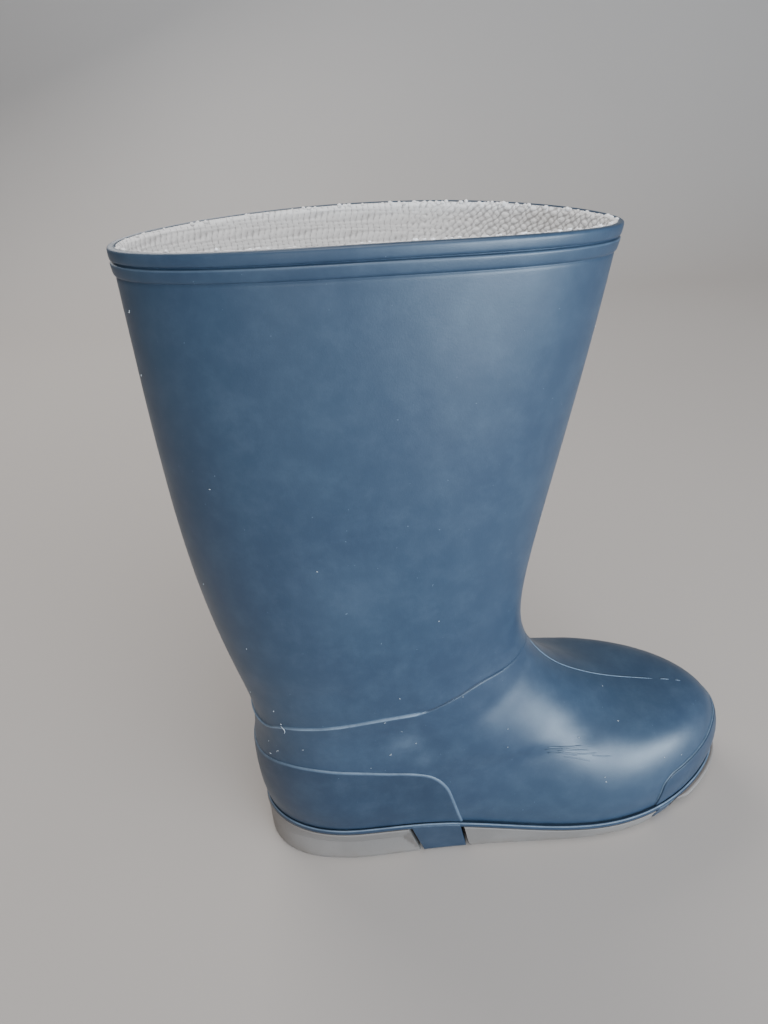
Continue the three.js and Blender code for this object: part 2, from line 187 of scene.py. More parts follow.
COUNTER_RISE = 0.8
# The painted highlight on the counter's rim.
COUNTER_HIGHLIGHT = 0.5
BUMPER_ROUND = 0.45
BUMPER_RISE = 0.75
LIP_WIDTH = 0.35
LIP_HEIGHT = 0.6
LIP_GAP = 0.5
# The painted highlight on the lip.
LIP_HIGHLIGHT = 0.6

# The mould's parting line over the instep, as (turn, level) stretches; it breaks off before the toe.
PARTING_LINE = [
    [(0.497, 10.3), (0.498, 8.7), (0.504, 7.7), (0.505, 6.8), (0.502, 6), (0.497, 5.3)],
    [(0.4965, 5.05), (0.496, 4.75)],
    [(0.4955, 4.5), (0.4955, 4.3)],
]
PARTING_HEIGHT = 0.35
PARTING_WIDTH = 0.22
# The painted highlight on the parting line.
PARTING_HIGHLIGHT = 0.7

# Soft creases of wear, as (start, end, half width, depth), start and end being (turn, level).
CREASES = [
    ((0.43, 10.1), (0.335, 9.2), 6, 0.6),
    ((0.57, 10.1), (0.665, 9.2), 6, 0.6),
    ((0.09, 10.3), (0.2, 10.8), 8, 0.5),
    ((0.91, 10.3), (0.8, 10.8), 8, 0.5),
    ((0.285, 4.9), (0.35, 5.4), 5, 0.35),
    ((0.715, 4.9), (0.65, 5.4), 5, 0.35),
]

# Fine wrinkles where the forefoot bends, as (turn, level) lines.
WRINKLES = [
    [(0.312, 5.6), (0.321, 5.2), (0.329, 4.95)],
    [(0.305, 5.35), (0.313, 5.05), (0.32, 4.7), (0.326, 4.5)],
    [(0.3, 4.95), (0.307, 4.7), (0.3135, 4.3)],
    [(0.311, 4.6), (0.319, 4.3), (0.327, 4.15)],
    [(0.304, 4.4), (0.3105, 4.05), (0.316, 3.75)],
    [(0.316, 5.2), (0.3185, 4.8), (0.3235, 4.6)],
    [(0.309, 5), (0.31, 4.65), (0.3145, 4.45)],
    [(0.322, 4.1), (0.328, 3.85), (0.333, 3.75)],
]
WRINKLE_WIDTH = 0.35
WRINKLE_HEIGHT = 0.08
# The painted highlight on the wrinkles.
WRINKLE_HIGHLIGHT = 0.1

# Pale smudges, as (turn, level, radius, strength).
SMUDGES = [(0.232, 7.8, 6, 0.22), (0.222, 6.1, 5, 0.16), (0.213, 7.2, 6, 0.15), (0.225, 13.3, 16, 0.1)]

# Blocks of the midsole in side view: x of the back and front edges, each at the floor and at the welt.
WAIST_BLOCK = {"back": (86, 79.5), "front": (109.5, 106)}
TOE_BLOCK = {"back": (218.5, 218.5), "front": (229, 229)}

# The knitted lining: nubs in front, and columns of small stitches elsewhere.
NUB_PITCH = 2.1
NUB_HEIGHT = 0.65
NUB_TILT = 38
STITCH_COLUMN = 2.4
STITCH_ROW = 2.1
CUFF_DEPTH = 42
CUFF_FADE = 18
PLAIN_NUB = 0.55
LINING_THICKNESS = 1.2
LINING_CLEARANCE = 0.05
BEHIND_NUB = 0.5
CUFF_EDGE = 1.6
CUFF_EDGE_SHARE = 0.9
CUFF_PROUD = 0.3

# The insole's rim, as (inset, rise), and the welt's, as (out, rise).
INSOLE_RIM = [(0, 1.6), (0.25, 2.3), (0.8, 2.8), (1.8, 3), (8, 2.6), (16, 2.3)]
WELT_RIM = [
    (0.9, -0.15), (1.35, 0), (1.7, 0.15), (1.93, 0.45), (2, 0.85), (2, 1.9), (1.95, 2.35), (1.8, 2.7),
    (1.5, 2.92), (1.15, 2.98), (0.8, 2.85), (0.5, 2.5), (0.3, 2.3), (-0.3, 2.6),
]
# The painted highlight on the welt's top edge.
WELT_HIGHLIGHT = 0.7

# How finely the meshes are divided.
COLUMNS = 400
FOOT_ROWS = 84
SHAFT_ROWS = 66
INSIDE_ROWS = 18
EDGE_POINTS = 361
PANEL_ROWS = 28
CUFF_COLUMNS = 860
CUFF_ROWS = 92
LEG_COLUMNS = 300
LEG_ROWS = 90
INSOLE_COLUMNS = 240
TREAD_COLUMNS = 180
RIM_POINTS = 2001
BEAD_SIDES = 10
TUFT_PLACES = 300
TUFT_SEED = 5
LINT_COUNT = 34
LINT_SEED = 11


# ------------------------------------------------------------------ the last as a function

def smoothstep(value, low, high):
    """From 0 at low to 1 at high, easing in and out."""
    share = np.clip((value - low) / (high - low), 0, 1)
    return share * share * (3 - 2 * share)


def lerp(start, end, share):
    return start + (end - start) * share


def spline(values, position):
    """A uniform cubic B-spline through numbered controls; past the list's end it stays level."""
    values = np.asarray(values, float)
    first = 2 * values[0] - values[1]
    after = 2 * values[-1] - values[-2]
    controls = np.concatenate([[first], values, [after], np.full(TOP_LEVEL + 1, values[-1])])
    position = np.asarray(position, float)
    start = np.floor(np.clip(position, 0, TOP_LEVEL - 1e-9)).astype(int)
    f = position - start
    weights = [
        (1 - f) ** 3,
        3 * f ** 3 - 6 * f ** 2 + 4,
        -3 * f ** 3 + 3 * f ** 2 + 3 * f + 1,
        f ** 3,
    ]
    return sum(weight * controls[start + k] for k, weight in enumerate(weights)) / 6


def hermite(values, slopes, k, step, f):
    """The smooth curve from value k to the next, at the share f of that step."""
    start = (2 * f ** 3 - 3 * f ** 2 + 1) * values[k] + (f ** 3 - 2 * f ** 2 + f) * step * slopes[k]
    end = (3 * f ** 2 - 2 * f ** 3) * values[k + 1] + (f ** 3 - f ** 2) * step * slopes[k + 1]
    return start + end


def along(values, share):
    """The spline at a share of its whole length."""
    return spline(values, np.clip(share, 0, 1 - 1e-9) * (len(values) - 1))


def feather_height(x):
    """How high the feather edge is at x."""
    return along(FEATHER_HEIGHT, x / FOOT_LENGTH)


def end_rounding(share, reach, fullness):
    """The width's rounding towards an end, from 0 at the end to 1 past its reach."""
    return np.sqrt(1 - (1 - np.clip(share / reach, 0, 1)) ** fullness)


def last(turn, level):
    """Points of the last, in millimetres, x from the back of the sole."""
    turn, level = np.broadcast_arrays(np.asarray(turn, float), np.asarray(level, float))
    whole = turn - np.floor(turn)
    side = np.where(whole < 0.5, -1, 1)
    angle = 2 * np.pi * np.where(whole < 0.5, whole, 1 - whole)
    share = (1 - np.cos(angle)) / 2
    foot = spline(FOOT_SHARE, level)
    outline = np.where(side < 0, along(OUTER_HALF_WIDTH, share), along(INNER_HALF_WIDTH, share))
    fullness = spline(FULLNESS, level)
    front_reach = spline(FRONT_ROUND, level) * np.where(side > 0, 1 - INNER_TOE_FILL * foot, 1)
    girth = foot * spline(FOOT_GIRTH, level) * outline + (1 - foot) * spline(LEG_HALF_WIDTH, level)
    back_x, back_z = (spline([point[k] for point in BACK_EDGE], level) for k in (0, 1))
    front_x, front_z = (spline([point[k] for point in FRONT_EDGE], level) for k in (0, 1))
    x = lerp(back_x, front_x, share)
    shoulder = smoothstep(x, *SHOULDER_BACK) - smoothstep(x, *SHOULDER_FRONT)
    width = girth * end_rounding(share, spline(BACK_ROUND, level), fullness)
    width = width * end_rounding(1 - share, front_reach, fullness)
    width = width * np.where(side < 0, 1 - spline(SHOULDER_FALL, level) * shoulder, 1)
    wave = feather_height(x) - lerp(BACK_EDGE[0][1], FRONT_EDGE[0][1], share)
    collar = smoothstep(level / TOP_LEVEL, COLLAR_START, 1)
    rise = spline(INNER_RISE, level) + COLLAR_LEAN * collar
    z = lerp(back_z, front_z, share) + spline(WAVE_SHARE, level) * wave
    z = z + COLLAR_SADDLE * collar * np.sin(angle) ** 2 + rise * side * width / RISE_DISTANCE
    z = z + COLLAR_BACK_RISE * collar * (1 - share) ** 4
    axis = TOE_SWING * smoothstep(x, SWING_START, SWING_END)
    return np.stack([x, axis + side * width, z], axis=-1)


def unit(vectors):
    return vectors / np.maximum(np.linalg.norm(vectors, axis=-1, keepdims=True), 1e-12)


def last_slopes(turn, level):
    """How fast the last's point moves with turn and with level."""
    step = 1e-3
    below = np.maximum(level - step, 0)
    above = np.minimum(level + step, TOP_LEVEL)
    around = (last(turn + step, level) - last(turn - step, level)) / (2 * step)
    up = (last(turn, above) - last(turn, below)) / (above - below)[..., None]
    return around, up


def last_normal(turn, level):
    """The outward normal, turned level at the feather edge and at the collar."""
    turn, level = np.broadcast_arrays(np.asarray(turn, float), np.asarray(level, float))
    around, up = last_slopes(turn, level)
    normal = unit(np.cross(around, up))
    normal[..., 2] *= smoothstep(level, 0, FEATHER_BAND) * (1 - smoothstep(level, *COLLAR_BAND))
    return unit(normal)


def form(turn, level, offset):
    """Points that far out from the last."""
    return last(turn, level) + last_normal(turn, level) * np.asarray(offset, float)[..., None]


def turns(count=COLUMNS):
    return np.arange(count) / count


def collar_level(below):
    """The level that lies that many millimetres below the rim."""
    return TOP_LEVEL - below / COLLAR_LEVEL_HEIGHT


def turn_at(x):
    """The outer side's turn at the feather edge that lies at x."""
    share = np.clip((x - BACK_EDGE[0][0]) / (FRONT_EDGE[0][0] - BACK_EDGE[0][0]), 0, 1)
    return np.arccos(1 - 2 * share) / (2 * np.pi)


def welt_bottom(x):
    return feather_height(x) - GAP - WELT_THICKNESS


def sole_top(x):
    return welt_bottom(x) - GAP


def sole_bottom(x):
    """The sole's lower side, which springs up at the toe."""
    share = np.maximum(0, x - TOE_SPRING_START) / (FOOT_LENGTH - TOE_SPRING_START)
    return TOE_SPRING * share ** 2


def edge_row(turn, offset, height):
    """The feather edge moved outwards by offset, at a height worked out from x."""
    row = form(turn, 0, offset)
    row[..., 2] = height(row[..., 0])
    return row


def sole_side(turn, share, out):
    """A point of the outsole's side wall, from its lower edge at share 0 to its upper edge at 1."""
    edge = last(turn, 0)
    inset = lerp(-HEEL_FLARE, SOLE_INSET, smoothstep(edge[..., 0], 0, HEEL_FLARE_END))
    point = form(turn, 0, out + lerp(-inset, SOLE_OVERHANG, share))
    x = point[..., 0]
    point[..., 2] = lerp(sole_bottom(x), sole_top(x), share)
    return point


# ------------------------------------------------------------------ meshes

def grid_faces(rows, columns, wrap_rows, wrap_columns):
    """Quads of a grid whose points are numbered row by row."""
    row = np.arange(rows if wrap_rows else rows - 1)[:, None]
    column = np.arange(columns if wrap_columns else columns - 1)[None, :]
    next_row = (row + 1) % rows
    next_column = (column + 1) % columns
    corners = [row * columns + column, row * columns + next_column]
    corners += [next_row * columns + next_column, next_row * columns + column]
    return np.stack(np.broadcast_arrays(*corners), axis=-1).reshape(-1, 4).tolist()


def mesh_object(name, points, faces, material):
    """A smooth mesh object from points in millimetres, with its faces turned outwards."""
    points = (np.asarray(points).reshape(-1, 3) + (HEEL_X, AXIS_Y, 0)) * MM
    mesh = bpy.data.meshes.new(name)
    mesh.from_pydata(points.tolist(), [], faces)
    mesh.validate()
    form_mesh = bmesh.new()
    form_mesh.from_mesh(mesh)
    bmesh.ops.recalc_face_normals(form_mesh, faces=form_mesh.faces)
    form_mesh.to_mesh(mesh)
    form_mesh.free()
    mesh.shade_smooth()
    mesh.materials.append(material)
    obj = bpy.data.objects.new(name, mesh)
    bpy.context.scene.collection.objects.link(obj)
    return obj


def ring_object(name, rows, material):
    """A hollow wall from rows that go up outside and down inside, each once round the boot."""
    rows = np.stack(rows)
    return mesh_object(name, rows, grid_faces(rows.shape[0], rows.shape[1], True, True), material)


def cap_faces(first, columns):
    """Closes a row by joining each point to its twin on the other side."""
    faces = [(first, first + 1, first + columns - 1)]
    for k in range(1, columns // 2 - 1):
        faces.append((first + k, first + k + 1, first + columns - k - 1, first + columns - k))
    half = columns // 2
    faces.append((first + half - 1, first + half, first + half + 1))
    return faces


def capsule_object(name, rows, material):
    """A solid body from rows that rise once round the boot, capped at both ends."""
    rows = np.stack(rows)
    count, columns = rows.shape[:2]
    faces = grid_faces(count, columns, False, True)
    faces += cap_faces(0, columns) + cap_faces((count - 1) * columns, columns)
    return mesh_object(name, rows, faces, material)


def slab_object(name, outer, inner, material):
    """A closed slab between two grids of points, one behind the other."""
    rows, columns = outer.shape[:2]
    points = np.concatenate([outer, inner[::-1]])
    faces = grid_faces(2 * rows, columns, True, False)
    for column in (0, columns - 1):
        for k in range(rows - 1):
            inner_row = 2 * rows - 1 - k
            corners = (k, k + 1, inner_row - 1, inner_row)
            faces.append(tuple(row * columns + column for row in corners))
    return mesh_object(name, points, faces, material)


def store(obj, name, values):
    """Keeps a number for each point, which a material reads."""
    attribute = obj.data.attributes.new(name, "FLOAT", "POINT")
    values = np.broadcast_to(np.asarray(values, np.float32).ravel(), len(obj.data.vertices))
    attribute.data.foreach_set("value", np.ascontiguousarray(values))


def on_boot(obj, slot_name, *nodes):
    """Rides obj on the boot and hides the CAD nodes that it stands for; slot_name is not used."""
    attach(obj, "root")
    if nodes:
        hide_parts(*nodes)
    return obj


def smooth_line(points, count):
    """A smooth line through given (turn, level) points, evenly spaced over the surface."""
    points = np.array(points, float)
    steps = np.linalg.norm(np.diff(last(points[:, 0], points[:, 1]), axis=0), axis=1)
    distance = np.concatenate([[0], np.cumsum(steps)])
    slope = np.gradient(points, distance, axis=0)
    place = np.linspace(0, distance[-1], count)
    k = np.clip(np.searchsorted(distance, place, side="right") - 1, 0, len(points) - 2)
    step = (distance[k + 1] - distance[k])[:, None]
    f = (place - distance[k])[:, None] / step
    line = hermite(points, slope, k, step, f)
    return line[:, 0], line[:, 1]


def both_sides(half):
    """A line on the outer side, from the back or the toe's middle, with its mirror image."""
    middle = half[0][0]
    other = [(2 * middle - turn, level) for turn, level in half[1:]]
    return sorted(other + list(half))


def inset_line(turn, level, distance):
    """The line moved sideways over the surface by distance, to the right of its way along."""
    around, up = last_slopes(turn, level)
    tangent = unit(around * np.gradient(turn)[:, None] + up * np.gradient(level)[:, None])
    inward = np.cross(tangent, unit(np.cross(around, up)))
    a = np.sum(around * around, axis=1)
    b = np.sum(around * up, axis=1)
    c = np.sum(up * up, axis=1)
    p = np.sum(around * inward, axis=1)
    q = np.sum(up * inward, axis=1)
    scale = distance / (a * c - b * b)
    return turn + (c * p - b * q) * scale, np.maximum(level + (a * q - b * p) * scale, 0)


def bead_object(name, lines, width, height, material):
    """Thin half-round ridges over the surface, one along each (turn, level) line, with faded ends."""
    section = np.linspace(0, 2 * np.pi, BEAD_SIDES, endpoint=False)
    points = []
    faces = []
    for turn, level in lines:
        centre = last(turn, level)
        normal = last_normal(turn, level)
        tangent = unit(np.gradient(centre, axis=0))
        across = np.cross(tangent, normal)
        place = np.linspace(-1, 1, len(turn))
        taper = (1 - place ** 12) ** 0.5 * 0.98 + 0.02
        ring = centre[:, None] + taper[:, None, None] * (
            across[:, None] * width * np.cos(section)[None, :, None]
            + normal[:, None] * height * np.sin(section)[None, :, None]
        )
        first = sum(len(part) for part in points)
        grid = np.array(grid_faces(len(turn), len(section), False, True)) + first
        faces += grid.tolist()
        faces.append([first + k for k in range(len(section))])
        faces.append([first + len(turn) * len(section) - 1 - k for k in range(len(section))])
        points.append(ring.reshape(-1, 3))
    return mesh_object(name, np.concatenate(points), faces, material)


def cut(obj, cutter, operation="DIFFERENCE"):
    """Cuts obj by cutter, which is used up."""
    modifier = obj.modifiers.new("cut", "BOOLEAN")
    modifier.operation = operation
    modifier.solver = "EXACT"
    modifier.object = cutter
    depsgraph = bpy.context.evaluated_depsgraph_get()
    mesh = bpy.data.meshes.new_from_object(obj.evaluated_get(depsgraph))
    obj.modifiers.remove(modifier)
    obj.data = mesh
    bpy.data.objects.remove(cutter)


# ------------------------------------------------------------------ materials

class Nodes:
    """Short ways to add nodes to a new material, with the boot's own coordinates."""

    def __init__(self, name):
        self.material = bpy.data.materials.new(name)
        self.material.use_nodes = True
        self.tree = self.material.node_tree
        self.shader = self.tree.nodes["Principled BSDF"]
        self.place = self.tree.nodes.new("ShaderNodeTexCoord").outputs["Object"]

    def link(self, source, target):
        self.tree.links.new(source, target)

    def give(self, value, socket):
        if isinstance(value, (int, float, tuple)):
            socket.default_value = value
        else:
            self.link(value, socket)

    def noise(self, scale, detail=2.0, roughness=0.5, place=None):
        node = self.tree.nodes.new("ShaderNodeTexNoise")
        node.inputs["Scale"].default_value = scale
        node.inputs["Detail"].default_value = detail
        node.inputs["Roughness"].default_value = roughness
        self.link(place or self.place, node.inputs["Vector"])
        return node.outputs["Fac"]

    def attribute(self, name):
        node = self.tree.nodes.new("ShaderNodeAttribute")
        node.attribute_name = name
        return node.outputs["Fac"]

    def place_part(self, axis):
        parts = self.tree.nodes.new("ShaderNodeSeparateXYZ")
        self.link(self.place, parts.inputs[0])
        return parts.outputs[axis]

    def map(self, value, low, high, to_low=0.0, to_high=1.0):
        node = self.tree.nodes.new("ShaderNodeMapRange")
        node.interpolation_type = "SMOOTHSTEP"
        self.link(value, node.inputs["Value"])
        for name, number in zip(("From Min", "From Max", "To Min", "To Max"), (low, high, to_low, to_high)):
            node.inputs[name].default_value = number
        return node.outputs["Result"]

    def math(self, operation, first, second):
        node = self.tree.nodes.new("ShaderNodeMath")
        node.operation = operation
        for value, socket in zip((first, second), node.inputs):
            self.give(value, socket)
        return node.outputs[0]

    def mix(self, share, first, second):
        """Colours mixed; of the node's sockets, the seventh and eighth are its two colours."""
        node = self.tree.nodes.new("ShaderNodeMix")
        node.data_type = "RGBA"
        for value, number in ((share, 0), (first, 6), (second, 7)):
            self.give(value, node.inputs[number])
        return node.outputs[2]

    def bump(self, height, distance, strength=1.0, under=None):
        node = self.tree.nodes.new("ShaderNodeBump")
        node.inputs["Strength"].default_value = strength
        node.inputs["Distance"].default_value = distance
        self.link(height, node.inputs["Height"])
        if under is not None:
            self.link(under, node.inputs["Normal"])
        return node.outputs["Normal"]

    def set(self, **values):
        for name, value in values.items():
            self.give(value, self.shader.inputs[name.replace("_", " ")])
        return self.material


def srgb(red, green, blue):
    """A colour as light amounts, from the numbers 0 to 255 that name it."""
    def light(value):
        share = value / 255
        return share / 12.92 if share <= 0.04045 else ((share + 0.055) / 1.055) ** 2.4
    return (light(red), light(green), light(blue), 1.0)


def pvc_material(name, colour, deep, dust_and_highlight_tone, gloss):
    """Satin moulded PVC: fine grain, cloudy tone, a thin dusty film, pale dusty smudges, and a painted
    highlight along edges and ridges.
    """
    n = Nodes(name)
    cloud = n.map(n.noise(11, 3, 0.55), 0.3, 0.7)
    body = n.mix(cloud, deep, colour)
    film = n.math("MULTIPLY", n.map(n.noise(90, 6, 0.7), 0.35, 0.85), 0.08)
    dusty = n.mix(film, body, dust_and_highlight_tone)
    patchy = n.map(n.noise(160, 3, 0.6), 0.2, 0.7, 0.35, 0.75)
    # Paler where the stored per-point values say: a painted highlight on edges and ridges, and pale dusty
    # smudges.
    edge_highlight_and_smudges = n.mix(n.math("MULTIPLY", n.attribute("highlight_and_dust"), patchy), dusty, dust_and_highlight_tone)
    specks = n.map(n.noise(620, 1, 0.5), 0.79, 0.83)
    finish = n.mix(n.math("MULTIPLY", specks, 0.4), edge_highlight_and_smudges, dust_and_highlight_tone)
    grain = n.bump(n.noise(1500, 2, 0.6), 0.0001, 0.3)
    pits = n.bump(n.noise(260, 2, 0.5), 0.0002, 0.12, grain)
    rough = n.map(n.noise(30, 4, 0.6), 0.3, 0.75, gloss - 0.04, gloss + 0.06)
    return n.set(Base_Color=finish, Roughness=rough, Normal=pits)


def sole_material():
    """Matt grey PVC, slightly darker and browner towards the floor."""
    n = Nodes("grey_pvc")
    tone = n.mix(n.map(n.noise(20, 4, 0.6), 0.3, 0.7), srgb(111, 105, 100), srgb(123, 117, 112))
    low = n.math("MULTIPLY", n.map(n.place_part("Z"), 0.009, 0.0), n.map(n.noise(90, 5, 0.7), 0.35, 0.65))
    stained = n.mix(n.math("MULTIPLY", low, 0.55), tone, srgb(110, 100, 90))
    specks = n.map(n.noise(520, 2, 0.6), 0.68, 0.75)
    finish = n.mix(n.math("MULTIPLY", specks, 0.35), stained, srgb(92, 83, 76))
    grain = n.bump(n.noise(1100, 3, 0.6), 0.0002, 0.4)
    rough = n.map(n.noise(60, 3, 0.5), 0.3, 0.7, 0.52, 0.66)
    return n.set(Base_Color=finish, Roughness=rough, Normal=grain)


def knit_material():
    """White nubby knit, with painted shade that makes it greyer between the nubs and stitches, and browner
    deep in front.
    """
    n = Nodes("white_knit")
    nub = n.map(n.attribute("nub"), 0.05, 0.5)
    # Painted shade: darker where the knit lies low between nubs and stitches.
    white_with_painted_shade = n.mix(nub, srgb(172, 170, 171), srgb(254, 254, 254))
    # Browner towards the front.
    tint_mask = n.math("MULTIPLY", n.map(n.place_part("X"), 0.0, 0.05), n.map(n.noise(60, 4, 0.6), 0.3, 0.7))
    finish = n.mix(n.math("MULTIPLY", tint_mask, 0.4), white_with_painted_shade, srgb(150, 137, 118))
    fibre = n.bump(n.noise(2300, 4, 0.7), 0.0003, 0.6)
    return n.set(Base_Color=finish, Roughness=0.95, Sheen_Weight=0.3, Sheen_Roughness=0.6, Normal=fibre)


def insole_material():
    """Pale foam board under a fine knit."""
    n = Nodes("insole_knit")
    tone = n.mix(n.noise(700, 2, 0.6), srgb(176, 168, 158), srgb(214, 208, 198))
    return n.set(Base_Color=tone, Roughness=0.95, Normal=n.bump(n.noise(900, 3, 0.6), 0.0005, 0.6))


def lint_material():
    """Pale grey fluff."""
    n = Nodes("lint")
    tone = n.mix(n.noise(900, 2, 0.5), srgb(150, 160, 168), srgb(215, 218, 220))
    return n.set(Base_Color=tone, Roughness=0.95)


def plain_material(name, colour, rough):
    """A nearly even colour for the studio."""
    n = Nodes(name)
    tone = n.mix(n.noise(3, 3, 0.5), colour, tuple(min(1.0, c * 1.05) for c in colour))
    return n.set(Base_Color=tone, Roughness=rough)


# ------------------------------------------------------------------ upper

def seam_level(turn):
    """The seam's level at a turn, alike on both sides."""
    half = np.abs(turn - np.round(turn))
    places = np.array([point[0] for point in SEAM])
    heights = np.array([point[1] for point in SEAM])
    slopes = np.gradient(heights, places)
    slopes[[0, -1]] = 0
    k = np.clip(np.searchsorted(places, half, side="right") - 1, 0, len(places) - 2)
    step = places[k + 1] - places[k]
    return hermite(heights, slopes, k, step, (half - places[k]) / step)


def seam_places(turn, level):
    """How far round the boot, how far above the seam, and how much this is the seam's front part."""
    half = np.abs(turn - np.round(turn))
    return half, level - seam_level(turn), smoothstep(half, *SEAM_CHANGE)


def seam_highlight(turn, level):
    """How much highlight is painted along the seam's line, which only its back part gets."""
    away, front = seam_places(turn, level)[1:]
    return (1 - front) * np.exp(-((away + 0.02) / SEAM_HIGHLIGHT_LINE) ** 2)


def seam_relief(turn, level):
    """A ledge with a bead under the seam at the back; a step with a groove, that fades, in front."""
    half, away, front = seam_places(turn, level)
    fade = 1 - SEAM_FADE_SHARE * smoothstep(half, *SEAM_FADE)
    spread = np.exp(-np.maximum(np.abs(away) - 0.1, 0) / SEAM_SPREAD)
    ledge = SEAM_LEDGE * (1 - smoothstep(away, -0.02, 0.05)) * spread
    bead = SEAM_BEAD * np.exp(-((away + 0.03) / SEAM_LINE) ** 2)
    step = SEAM_STEP * smoothstep(away, -0.03, 0.02) * spread
    step = step - SEAM_GROOVE * np.exp(-((away + 0.02) / SEAM_LINE) ** 2)
    return (1 - front) * (ledge + bead) + front * fade * step


def crease_relief(place):
    """How far the listed creases draw the skin in."""
    total = np.zeros(len(place))
    for start, end, half_width, depth in CREASES:
        first, second = last(*start), last(*end)
        way = second - first
        share = np.clip((place - first) @ way / (way @ way), 0, 1)
        distance = np.linalg.norm(place - first - share[:, None] * way, axis=1)
        total -= depth * np.exp(-(distance / half_width) ** 2)
    return total


def smudge_rub(place):
    """How dusty the smudges make each place."""
    total = np.zeros(len(place))
    for turn, level, radius, strength in SMUDGES:
        centre = last(turn, level)
        total += strength * np.exp(-np.sum((place - centre) ** 2, axis=1) / radius ** 2)
    return total


def upper(material):
    """The moulded PVC leg and foot, one skin with its collar beads and the seam's ledge."""
    turn = turns()
    seam = seam_level(turn)
    near_seam = [-away for away in SEAM_ROWS[:0:-1]] + SEAM_ROWS
    shaft_top = collar_level(COLLAR_SECTION[0][0]) - 0.03
    levels = [lerp(0, seam - SEAM_BAND, share) for share in np.linspace(0, 1, FOOT_ROWS)]
    levels += [seam + away for away in near_seam]
    levels += [lerp(seam + SEAM_BAND, shaft_top, share) for share in np.linspace(0, 1, SHAFT_ROWS)]
    rows = []
    highlight_and_dust_rows = []
    for level in levels:
        place = last(turn, level)
        rows.append(form(turn, level, seam_relief(turn, level) + crease_relief(place)))
        # Painted highlight along the seam's line, plus pale dusty smudges.
        highlight_and_dust_rows.append(seam_highlight(turn, level) + smudge_rub(place))
    for below, out in COLLAR_SECTION:
        # The collar rows at that depth get a painted highlight.
        highlight_and_dust = COLLAR_HIGHLIGHT if abs(below - COLLAR_HIGHLIGHT_BELOW) < COLLAR_HIGHLIGHT_REACH else 0
        rows.append(form(turn, collar_level(below), out))
        highlight_and_dust_rows.append(np.full_like(turn, highlight_and_dust))
    for level in np.linspace(TOP_LEVEL - 0.02, 0, INSIDE_ROWS):
        rows.append(form(turn, level, -WALL))
        highlight_and_dust_rows.append(np.zeros_like(turn))
    obj = ring_object("upper_skin", rows, material)
    store(obj, "highlight_and_dust", np.concatenate(highlight_and_dust_rows))
    return on_boot(obj, "blue_pvc", "upper")


def panel(name, half_edge, roundness, panel_rise, highlight_and_dust, material, node):
    """A raised panel of the skin between its edge and the welt, with a rounded rim that carries a painted
    highlight.
    """
    turn, level = smooth_line(both_sides(half_edge), EDGE_POINTS)
    rows = [inset_line(turn, level, share * roundness) for share, _ in PANEL_RIM]
    rises = [rise for _, rise in PANEL_RIM]
    # The rim's rows carry the painted highlight.
    highlight_and_dust_rows = [0, highlight_and_dust, highlight_and_dust, highlight_and_dust, highlight_and_dust, 0.6 * highlight_and_dust, 0]
    row_turn, row_level = rows[-1]
    foot_turn = np.linspace(row_turn[0], row_turn[-1], len(turn))
    for share in np.linspace(0, 1, PANEL_ROWS)[1:]:
        rows.append((lerp(row_turn, foot_turn, share), row_level * (1 - share)))
        rises.append(1)
        highlight_and_dust_rows.append(0)
    outer = [form(*row, rise * panel_rise) for row, rise in zip(rows, rises)]
    under = [form(*row, -PANEL_FOOT) for row in rows]
    obj = slab_object(name, np.stack(outer), np.stack(under), material)
    tint_mask = np.repeat(highlight_and_dust_rows, len(turn))
    store(obj, "highlight_and_dust", np.concatenate([tint_mask, 0 * tint_mask]))
    return on_boot(obj, "blue_pvc", node)


def bumper_lip(material):
    """The skin's thin raised lip along the toe bumper's edge, with a painted highlight."""
    turn, level = smooth_line(both_sides(BUMPER_EDGE), EDGE_POINTS)
    line = inset_line(turn, level, -LIP_WIDTH - LIP_GAP)
    obj = bead_object("bumper_lip", [line], LIP_WIDTH, LIP_HEIGHT, material)
    store(obj, "highlight_and_dust", LIP_HIGHLIGHT)
    return on_boot(obj, "blue_pvc")


def parting_line(material):
    """The mould's parting line, a thin ridge over the instep with a painted highlight."""
    lines = [smooth_line(stretch, 12 * len(stretch)) for stretch in PARTING_LINE]
    obj = bead_object("parting_line", lines, PARTING_WIDTH, PARTING_HEIGHT, material)
    store(obj, "highlight_and_dust", PARTING_HIGHLIGHT)
    return on_boot(obj, "blue_pvc")


def wrinkles(material):
    """The fine wrinkles at the forefoot's bend, as faint ridges with a faint painted highlight."""
    lines = [smooth_line(line, 8 * len(line)) for line in WRINKLES]
    obj = bead_object("wrinkles", lines, WRINKLE_WIDTH, WRINKLE_HEIGHT, material)
    store(obj, "highlight_and_dust", WRINKLE_HIGHLIGHT)
    return on_boot(obj, "blue_pvc")


# ------------------------------------------------------------------ lining and insole

def rim_places(count):
    """Turns that are evenly spaced along the collar's rim, and the rim's length."""
    dense = np.linspace(0, 1, RIM_POINTS)
    rim = last(dense, TOP_LEVEL)
    distance = np.concatenate([[0], np.cumsum(np.linalg.norm(np.diff(rim, axis=0), axis=1))])
    return np.interp(turns(count), distance / distance[-1], dense), distance[-1]


